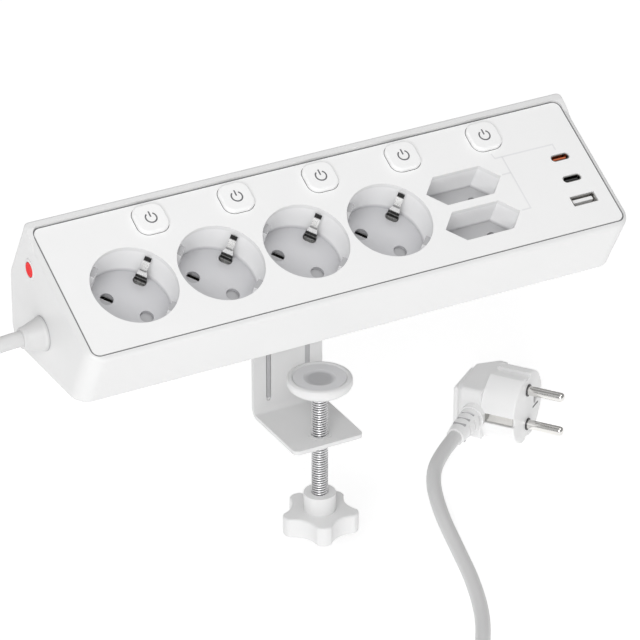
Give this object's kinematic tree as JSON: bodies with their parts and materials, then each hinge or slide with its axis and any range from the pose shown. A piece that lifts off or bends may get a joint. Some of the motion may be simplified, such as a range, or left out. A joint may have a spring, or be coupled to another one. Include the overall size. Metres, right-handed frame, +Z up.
{
  "type": "desk clamp power strip",
  "caption": "Wedge-shaped desk power strip with round and flat mains sockets, switches and USB ports, held to a desk edge by a screw clamp, with a mains cord and plug.",
  "frame": {"origin": "middle of the flat underside that rests on the desk top", "axes": "+X along the strip towards the USB ports, +Y to the back where the clamp's leg is, +Z up"},
  "size_m": [0.3824, 0.2537, 0.211],
  "materials": {
    "white_housing": "satin",
    "white_panel": "fine matt",
    "white_insert": "satin",
    "grey_insert": "matt",
    "white_button": "satin",
    "white_knob": "satin",
    "white_plug": "satin",
    "white_cord": "soft PVC, satin",
    "white_steel": "powder coat",
    "zinc_steel": "bright zinc plate",
    "nickel": "nickel plate",
    "brass": "bare",
    "red_plastic": "gloss",
    "orange_plastic": "moulded",
    "black_plastic": "moulded",
    "green_board": "solder resist",
    "lead_sheath": "PVC",
    "grey_rubber": "matt"
  },
  "bodies": {
    "housing": {"upper_housing": "white_housing", "bottom_cover": "white_housing", "face_panel": "white_panel", "anti_slip_pad": "grey_rubber", "cover_screws": "zinc_steel", "pin_contacts": "brass", "live_busbar": "brass", "neutral_busbar": "brass", "earth_strip": "brass", "circuit_breaker": "black_plastic", "usb_shells": "nickel", "usb_a_tongue": "white_insert", "usb_c_tongue_1": "orange_plastic", "usb_c_tongue_2": "black_plastic", "charger_board": "green_board", "charger_parts": "black_plastic", "cable_gland": "white_cord", "gland_fork": "white_insert", "internal_leads": "lead_sheath", "bracket_screws": "zinc_steel", "bracket_nut_plate": "zinc_steel", "cord_lead": "white_cord", "cord_coil": "white_cord", "cord_tail": "white_cord", "plug_body": "white_plug", "plug_pins": "nickel", "plug_earth": "nickel", "socket_cup_1": "white_insert", "earth_clip_1": "nickel", "socket_cup_2": "white_insert", "earth_clip_2": "nickel", "socket_cup_3": "white_insert", "earth_clip_3": "nickel", "socket_cup_4": "white_insert", "earth_clip_4": "nickel", "flat_cup_1": "white_insert", "flat_cup_2": "white_insert", "switch_module_1": "black_plastic", "switch_module_2": "black_plastic", "switch_module_3": "black_plastic", "switch_module_4": "black_plastic", "switch_module_5": "black_plastic"},
    "bracket": {"clamp_bracket": "white_steel", "clamp_nut": "zinc_steel"},
    "pad": {"clamp_pad": "white_knob", "pad_disc": "grey_rubber"},
    "screw": {"clamp_screw": "zinc_steel", "star_knob": "white_knob"},
    "reset": {"reset_button": "red_plastic"},
    "button_1": {"power_button_1": "white_button"},
    "button_2": {"power_button_2": "white_button"},
    "button_3": {"power_button_3": "white_button"},
    "button_4": {"power_button_4": "white_button"},
    "button_5": {"power_button_5": "white_button"},
    "shutter_body_1": {"shutter_1": "grey_insert"},
    "shutter_body_2": {"shutter_2": "grey_insert"},
    "shutter_body_3": {"shutter_3": "grey_insert"},
    "shutter_body_4": {"shutter_4": "grey_insert"},
    "flat_shutter_body_1": {"flat_shutter_1": "grey_insert"},
    "flat_shutter_body_2": {"flat_shutter_2": "grey_insert"}
  },
  "joints": [
    {"name": "bracket_slide", "type": "slide", "parent": "housing", "child": "bracket", "axis": [0, 0, 1], "range_m": [-0.008, 0.008]},
    {"name": "pad_travel", "type": "slide", "parent": "bracket", "child": "pad", "axis": [0, 0, 1], "range_m": [-0.015, 0.0265]},
    {"name": "screw_turn", "type": "hinge", "parent": "pad", "child": "screw", "pos_m": [0.0031, 0.012, -0.07], "axis": [0, 0, 1], "range_deg": [-5800, 7800]},
    {"name": "reset_push", "type": "slide", "parent": "housing", "child": "reset", "axis": [1, 0, 0], "range_m": [0, 0.002], "stiffness_N_per_m": 600, "springref_m": -0.0006},
    {"name": "button_1_push", "type": "slide", "parent": "housing", "child": "button_1", "axis": [0, 0.4787, -0.878], "range_m": [0, 0.0018], "stiffness_N_per_m": 500, "springref_m": -0.0006},
    {"name": "button_2_push", "type": "slide", "parent": "housing", "child": "button_2", "axis": [0, 0.4787, -0.878], "range_m": [0, 0.0018], "stiffness_N_per_m": 500, "springref_m": -0.0006},
    {"name": "button_3_push", "type": "slide", "parent": "housing", "child": "button_3", "axis": [0, 0.4787, -0.878], "range_m": [0, 0.0018], "stiffness_N_per_m": 500, "springref_m": -0.0006},
    {"name": "button_4_push", "type": "slide", "parent": "housing", "child": "button_4", "axis": [0, 0.4787, -0.878], "range_m": [0, 0.0018], "stiffness_N_per_m": 500, "springref_m": -0.0006},
    {"name": "button_5_push", "type": "slide", "parent": "housing", "child": "button_5", "axis": [0, 0.4787, -0.878], "range_m": [0, 0.0018], "stiffness_N_per_m": 500, "springref_m": -0.0006},
    {"name": "shutter_1_slide", "type": "slide", "parent": "housing", "child": "shutter_body_1", "axis": [-0.7071, -0.6208, -0.3385], "range_m": [0, 0.0065], "stiffness_N_per_m": 60, "springref_m": -0.002},
    {"name": "shutter_2_slide", "type": "slide", "parent": "housing", "child": "shutter_body_2", "axis": [-0.7071, -0.6208, -0.3385], "range_m": [0, 0.0065], "stiffness_N_per_m": 60, "springref_m": -0.002},
    {"name": "shutter_3_slide", "type": "slide", "parent": "housing", "child": "shutter_body_3", "axis": [-0.7071, -0.6208, -0.3385], "range_m": [0, 0.0065], "stiffness_N_per_m": 60, "springref_m": -0.002},
    {"name": "shutter_4_slide", "type": "slide", "parent": "housing", "child": "shutter_body_4", "axis": [-0.7071, -0.6208, -0.3385], "range_m": [0, 0.0065], "stiffness_N_per_m": 60, "springref_m": -0.002},
    {"name": "flat_shutter_1_slide", "type": "slide", "parent": "housing", "child": "flat_shutter_body_1", "axis": [0, -0.878, -0.4787], "range_m": [0, 0.0055], "stiffness_N_per_m": 60, "springref_m": -0.002},
    {"name": "flat_shutter_2_slide", "type": "slide", "parent": "housing", "child": "flat_shutter_body_2", "axis": [0, -0.878, -0.4787], "range_m": [0, 0.0055], "stiffness_N_per_m": 60, "springref_m": -0.002}
  ],
  "couplings": [
    {"joint": "screw_turn", "follows": "pad_travel", "rad_per_m": 5026.5}
  ]
}
